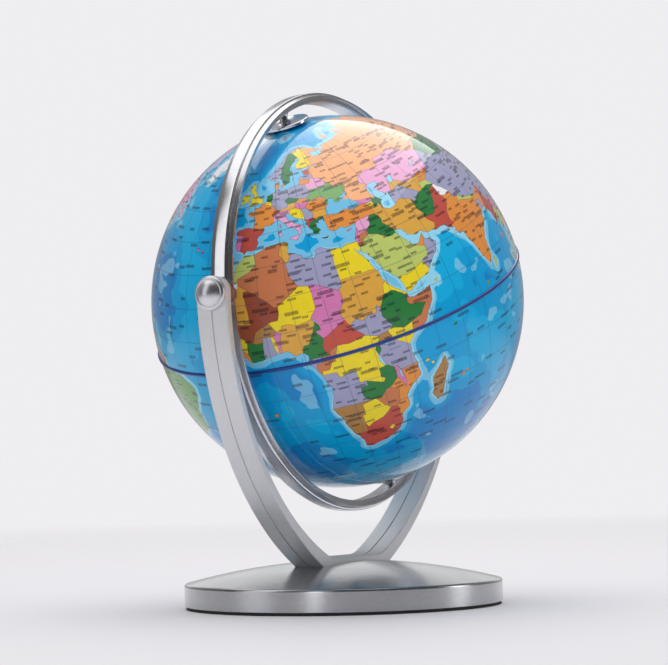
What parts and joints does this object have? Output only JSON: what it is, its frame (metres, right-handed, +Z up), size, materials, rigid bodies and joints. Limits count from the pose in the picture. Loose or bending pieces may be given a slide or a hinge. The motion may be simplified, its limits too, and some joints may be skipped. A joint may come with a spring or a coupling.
{
  "type": "desktop globe on stand",
  "caption": "Small political globe that spins in a tilting full meridian ring, carried by a curved U-shaped stand on a round domed base.",
  "frame": {"origin": "centre of the base's underside, on the surface it stands on", "axes": "+Z up; X along the pivot axis of the ring, between the two arms; -Y is the side the ring's top leans away from"},
  "size_m": [0.18, 0.1432, 0.1958],
  "materials": {
    "silver_paint": "satin silver metallic paint",
    "satin_chrome": "satin chrome plating, polished edges",
    "steel": "zinc-plated steel",
    "black_foam": "matt black foam",
    "globe_print": "glossy printed map, cyan-blue seas",
    "navy_plastic": "glossy navy plastic",
    "white_plastic": "natural white moulded plastic"
  },
  "bodies": {
    "stand": {"base_cover": "silver_paint", "base_bottom_plate": "steel", "base_foot_pad": "black_foam", "base_ballast": "steel", "ballast_bolt": "steel", "ballast_nut": "steel", "base_plate_screws": "steel", "yoke_foot_screws": "steel", "yoke_front_half": "silver_paint", "yoke_rear_half": "silver_paint", "yoke_dowels": "steel", "left_pivot_cap": "satin_chrome", "right_pivot_cap": "satin_chrome", "left_pivot_pin": "steel", "right_pivot_pin": "steel", "left_pivot_spacer": "satin_chrome", "right_pivot_spacer": "satin_chrome"},
    "ring": {"ring_outer_band": "satin_chrome", "ring_inner_band": "satin_chrome", "north_pole_pin": "satin_chrome", "south_pole_pin": "satin_chrome"},
    "globe": {"north_hemisphere": "globe_print", "south_hemisphere": "globe_print", "equator_band": "navy_plastic", "equator_joint_ring": "white_plastic", "north_hub_bush": "white_plastic", "south_hub_bush": "white_plastic", "north_pole_cap": "satin_chrome", "south_pole_cap": "satin_chrome"}
  },
  "joints": [
    {"name": "ring_tilt", "type": "hinge", "parent": "stand", "child": "ring", "pos_m": [0, 0, 0.1158], "axis": [1, 0, 0], "continuous": true},
    {"name": "globe_spin", "type": "hinge", "parent": "ring", "child": "globe", "pos_m": [0, 0, 0.1158], "axis": [-0.3987, 0.0544, 0.9154], "continuous": true}
  ]
}
